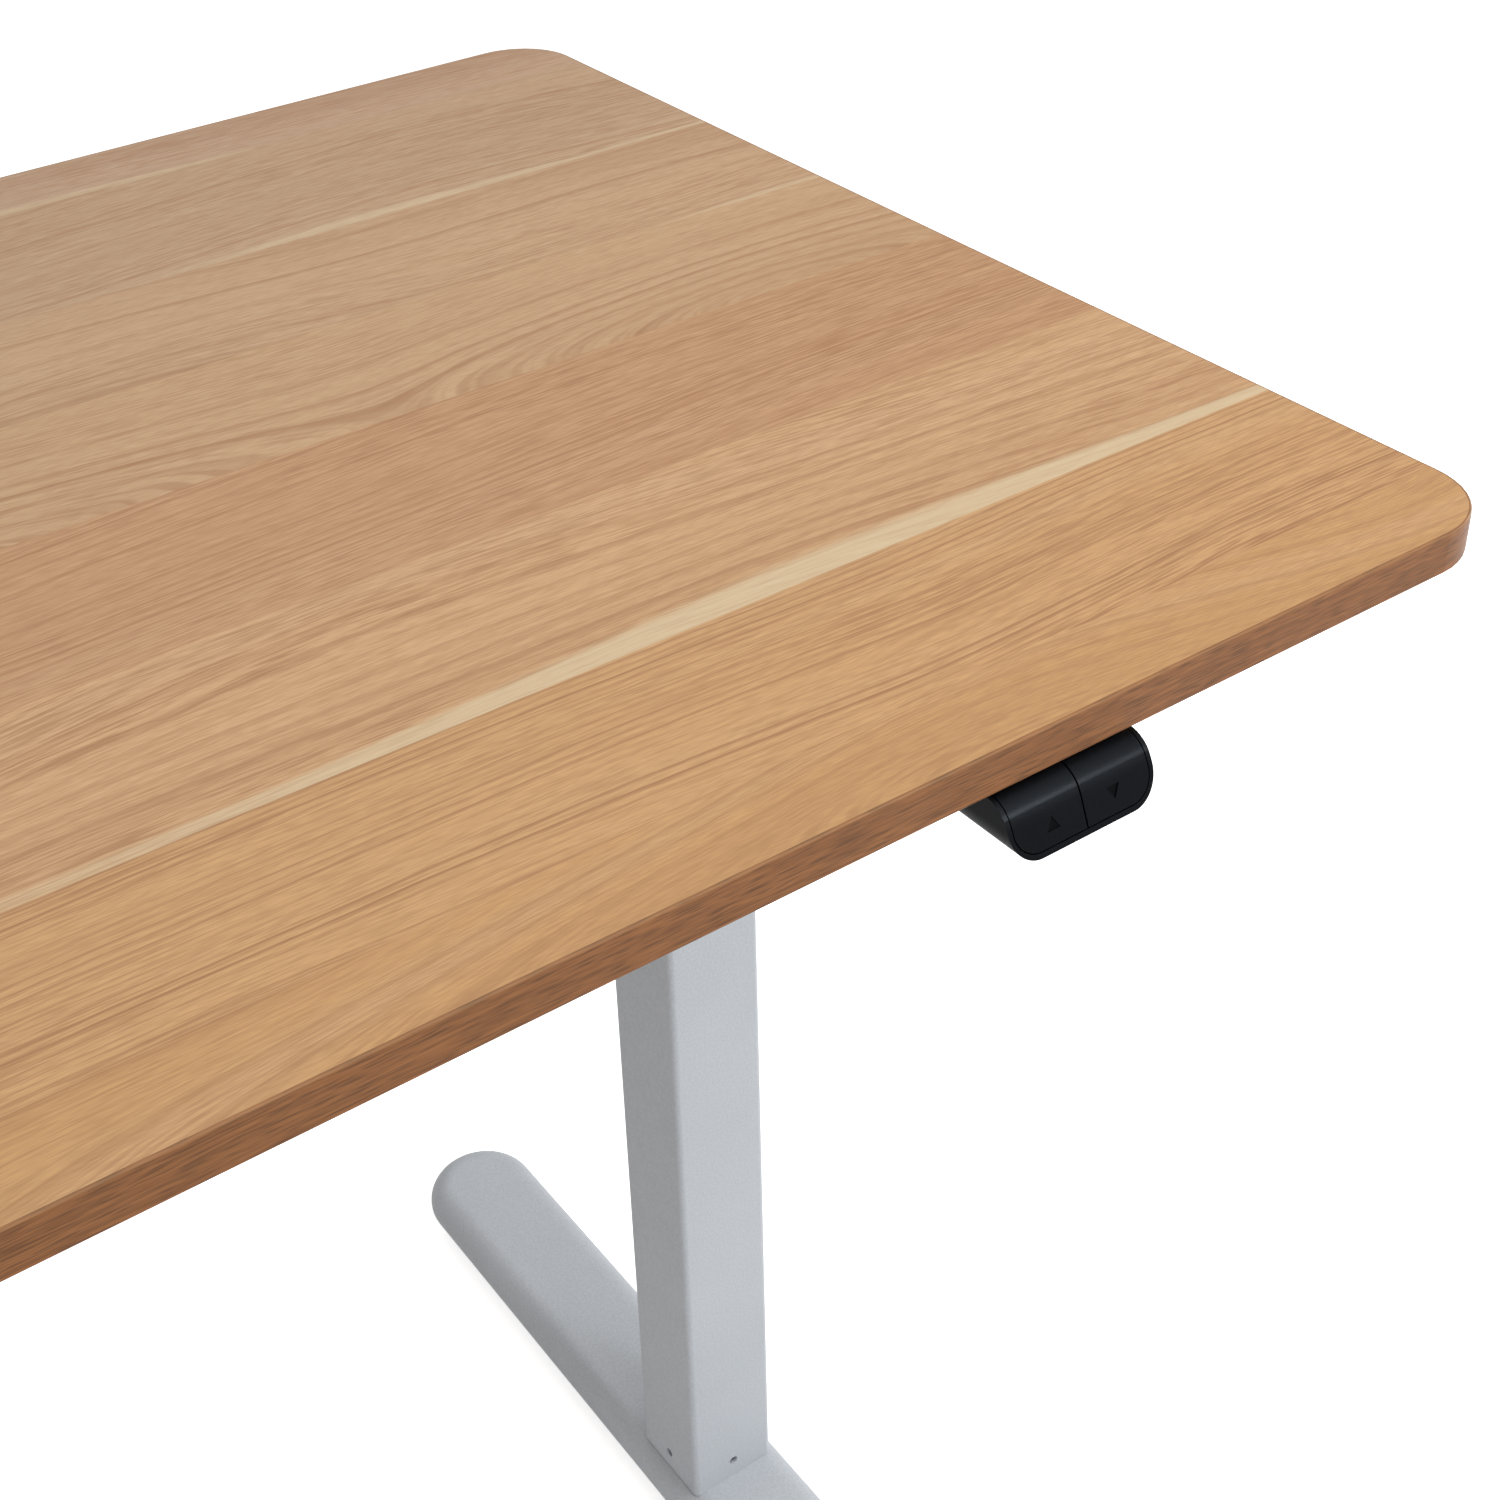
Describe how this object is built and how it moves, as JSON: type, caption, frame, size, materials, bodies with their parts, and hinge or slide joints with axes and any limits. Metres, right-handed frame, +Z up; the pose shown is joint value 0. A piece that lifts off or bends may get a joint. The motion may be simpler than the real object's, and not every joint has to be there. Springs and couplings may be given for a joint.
{
  "type": "standing desk",
  "caption": "Height adjustable standing desk: a wood-effect top on telescopic square columns with pressed feet, raised by a motor and a handset under the front edge.",
  "frame": {"origin": "on the floor, under the middle of the top", "axes": "+X along the desk to the user's right, +Y from the user to the back, +Z up"},
  "size_m": [1.2, 0.611, 0.725],
  "materials": {
    "wood_laminate": "matte wood-effect laminate",
    "edge_band": "satin printed edge band",
    "powder_coat": "fine satin powder coat",
    "cast_aluminium": "as cast",
    "zinc_steel": "zinc plated",
    "dark_screws": "black zinc",
    "guide_plastic": "moulded",
    "nut_plastic": "moulded",
    "machined_steel": "turned",
    "motor_paint": "black paint",
    "box_plastic": "fine moulded texture",
    "circuit_board": "solder resist",
    "handset_plastic": "fine moulded texture",
    "button_plastic": "satin",
    "cable_jacket": "satin",
    "leveller_plastic": "moulded"
  },
  "bodies": {
    "base": {"right_foot": "powder_coat", "left_foot": "powder_coat", "right_foot_block": "cast_aluminium", "left_foot_block": "cast_aluminium", "right_outer_tube": "powder_coat", "left_outer_tube": "powder_coat", "right_guide_bush": "guide_plastic", "left_guide_bush": "guide_plastic", "right_nut_tube": "zinc_steel", "left_nut_tube": "zinc_steel", "right_spindle_nut": "nut_plastic", "left_spindle_nut": "nut_plastic", "leveller_plates": "zinc_steel", "column_screws": "zinc_steel", "foot_bolts": "zinc_steel"},
    "lift": {"cable_clips": "box_plastic", "control_board": "circuit_board", "control_box_case": "box_plastic", "control_box_lid": "box_plastic", "desktop_board": "wood_laminate", "edge_band": "edge_band", "frame_bolts": "zinc_steel", "front_rail": "powder_coat", "gear_covers": "cast_aluminium", "gearbox_bearings": "machined_steel", "handset_base": "handset_plastic", "handset_board": "circuit_board", "handset_cable": "cable_jacket", "handset_case": "handset_plastic", "left_gear_case": "cast_aluminium", "left_head_bracket": "powder_coat", "left_inner_tube": "powder_coat", "left_lower_glide": "guide_plastic", "left_side_arm": "powder_coat", "mains_inlet": "box_plastic", "motor": "motor_paint", "motor_cable": "cable_jacket", "motor_gear_case": "cast_aluminium", "motor_gear_cover": "cast_aluminium", "rear_rail": "powder_coat", "right_gear_case": "cast_aluminium", "right_head_bracket": "powder_coat", "right_inner_tube": "powder_coat", "right_lower_glide": "guide_plastic", "right_side_arm": "powder_coat", "wood_screws": "dark_screws"},
    "drive_shaft": {"drive_shaft": "machined_steel", "worm_wheel": "nut_plastic", "right_bevel_pinion": "machined_steel", "left_bevel_pinion": "machined_steel"},
    "right_spindle": {"right_spindle": "machined_steel", "right_bevel_gear": "machined_steel"},
    "left_spindle": {"left_spindle": "machined_steel", "left_bevel_gear": "machined_steel"},
    "up_button": {"up_button": "button_plastic"},
    "down_button": {"down_button": "button_plastic"},
    "right_front_leveller": {"right_front_leveller": "leveller_plastic"},
    "right_rear_leveller": {"right_rear_leveller": "leveller_plastic"},
    "left_front_leveller": {"left_front_leveller": "leveller_plastic"},
    "left_rear_leveller": {"left_rear_leveller": "leveller_plastic"}
  },
  "joints": [
    {"name": "desk_lift", "type": "slide", "parent": "base", "child": "lift", "axis": [0, 0, 1], "range_m": [0, 0.46]},
    {"name": "right_spindle_turn", "type": "hinge", "parent": "lift", "child": "right_spindle", "pos_m": [0.468, 0, 0.6], "axis": [0, 0, 1], "continuous": true},
    {"name": "left_spindle_turn", "type": "hinge", "parent": "lift", "child": "left_spindle", "pos_m": [-0.468, 0, 0.6], "axis": [0, 0, 1], "continuous": true},
    {"name": "drive_shaft_turn", "type": "hinge", "parent": "lift", "child": "drive_shaft", "pos_m": [0, 0, 0.68], "axis": [1, 0, 0], "continuous": true},
    {"name": "up_button_press", "type": "slide", "parent": "lift", "child": "up_button", "axis": [0, 0.9272, -0.3746], "range_m": [0, 0.001], "stiffness_N_per_m": 1500},
    {"name": "down_button_press", "type": "slide", "parent": "lift", "child": "down_button", "axis": [0, 0.9272, -0.3746], "range_m": [0, 0.001], "stiffness_N_per_m": 1500},
    {"name": "right_front_leveller_screw", "type": "slide", "parent": "base", "child": "right_front_leveller", "axis": [0, 0, -1], "range_m": [0, 0.01]},
    {"name": "right_rear_leveller_screw", "type": "slide", "parent": "base", "child": "right_rear_leveller", "axis": [0, 0, -1], "range_m": [0, 0.01]},
    {"name": "left_front_leveller_screw", "type": "slide", "parent": "base", "child": "left_front_leveller", "axis": [0, 0, -1], "range_m": [0, 0.01]},
    {"name": "left_rear_leveller_screw", "type": "slide", "parent": "base", "child": "left_rear_leveller", "axis": [0, 0, -1], "range_m": [0, 0.01]}
  ],
  "couplings": [
    {"joint": "right_spindle_turn", "follows": "desk_lift", "rad_per_m": 785.4},
    {"joint": "left_spindle_turn", "follows": "desk_lift", "rad_per_m": -785.4},
    {"joint": "drive_shaft_turn", "follows": "desk_lift", "rad_per_m": -785.4}
  ]
}
